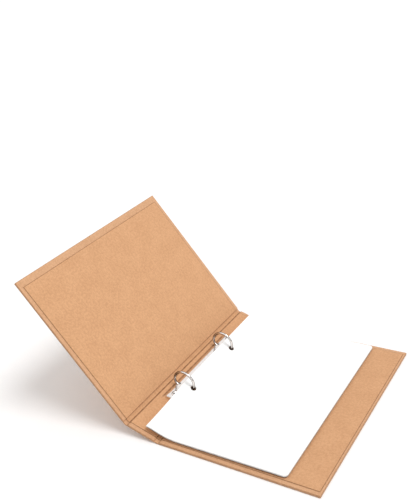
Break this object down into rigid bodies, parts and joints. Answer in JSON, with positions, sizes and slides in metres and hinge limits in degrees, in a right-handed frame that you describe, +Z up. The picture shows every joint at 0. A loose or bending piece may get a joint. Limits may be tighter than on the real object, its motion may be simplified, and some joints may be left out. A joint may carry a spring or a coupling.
{
  "type": "ring binder scrapbook album",
  "caption": "Open ring-bound scrapbook album: kraft-covered boards and spine with a riveted ring mechanism holding punched white pages.",
  "frame": {"origin": "centre of the back cover's outer face, which lies on the table", "axes": "+X from the hinge to the back cover's fore edge, +Y along the album's height and its hinges, +Z up from the table"},
  "size_m": [0.3223, 0.232, 0.1589],
  "materials": {
    "kraft_cover": "matt kraft paper, fine fibres",
    "kraft_lining": "matt kraft paper, fine fibres",
    "greyboard": "raw binder's board",
    "nickel": "polished nickel plate",
    "blade_steel": "rolled spring steel",
    "page_paper": "smooth white card"
  },
  "bodies": {
    "back_cover": {"back_board": "greyboard", "back_cover_paper": "kraft_cover", "back_liner": "kraft_lining", "back_hinge_paper": "kraft_cover", "back_hinge_liner": "kraft_lining"},
    "spine": {"spine_board": "greyboard", "spine_paper": "kraft_cover", "spine_liner": "kraft_lining", "front_hinge_paper": "kraft_cover", "front_hinge_liner": "kraft_lining", "ring_shield": "nickel", "rivet_near": "nickel", "rivet_far": "nickel"},
    "front_cover": {"front_board": "greyboard", "front_cover_paper": "kraft_cover", "front_liner": "kraft_lining"},
    "ring_right": {"blade_right": "blade_steel", "half_ring_right_near": "nickel", "half_ring_right_far": "nickel"},
    "ring_left": {"blade_left": "blade_steel", "half_ring_left_near": "nickel", "half_ring_left_far": "nickel"},
    "page_pile": {"page_3": "page_paper", "page_4": "page_paper", "page_5": "page_paper", "page_6": "page_paper"},
    "page_second": {"page_2": "page_paper"},
    "page_top": {"page_1": "page_paper"}
  },
  "joints": [
    {"name": "back_hinge", "type": "hinge", "parent": "back_cover", "child": "spine", "pos_m": [-0.0915, 0, 0.00125], "axis": [0, 1, 0], "range_deg": [-5, 72], "deforming": ["back_hinge_paper", "back_hinge_liner"]},
    {"name": "front_hinge", "type": "hinge", "parent": "spine", "child": "front_cover", "pos_m": [-0.12859, 0, 0.0133], "axis": [0, 1, 0], "range_deg": [-42, 54], "deforming": ["front_hinge_paper", "front_hinge_liner"]},
    {"name": "page_pile_follow", "type": "hinge", "parent": "spine", "child": "page_pile", "pos_m": [-0.10502, 0, 0.01952], "axis": [0, 1, 0], "range_deg": [-72, 5]},
    {"name": "page_2_turn", "type": "hinge", "parent": "page_pile", "child": "page_second", "pos_m": [-0.10502, 0, 0.01952], "axis": [0, 1, 0], "range_deg": [-45, 0]},
    {"name": "page_1_turn", "type": "hinge", "parent": "page_second", "child": "page_top", "pos_m": [-0.10502, 0, 0.01952], "axis": [0, 1, 0], "range_deg": [-125, 0]},
    {"name": "ring_open", "type": "hinge", "parent": "spine", "child": "ring_right", "pos_m": [-0.10205, 0, 0.00794], "axis": [0, 1, 0], "range_deg": [0, 9]},
    {"name": "ring_open_left", "type": "hinge", "parent": "spine", "child": "ring_left", "pos_m": [-0.11422, 0, 0.01189], "axis": [0, 1, 0], "range_deg": [-9, 0]}
  ],
  "couplings": [
    {"joint": "page_pile_follow", "follows": "back_hinge", "ratio": -1},
    {"joint": "ring_open_left", "follows": "ring_open", "ratio": -1}
  ]
}
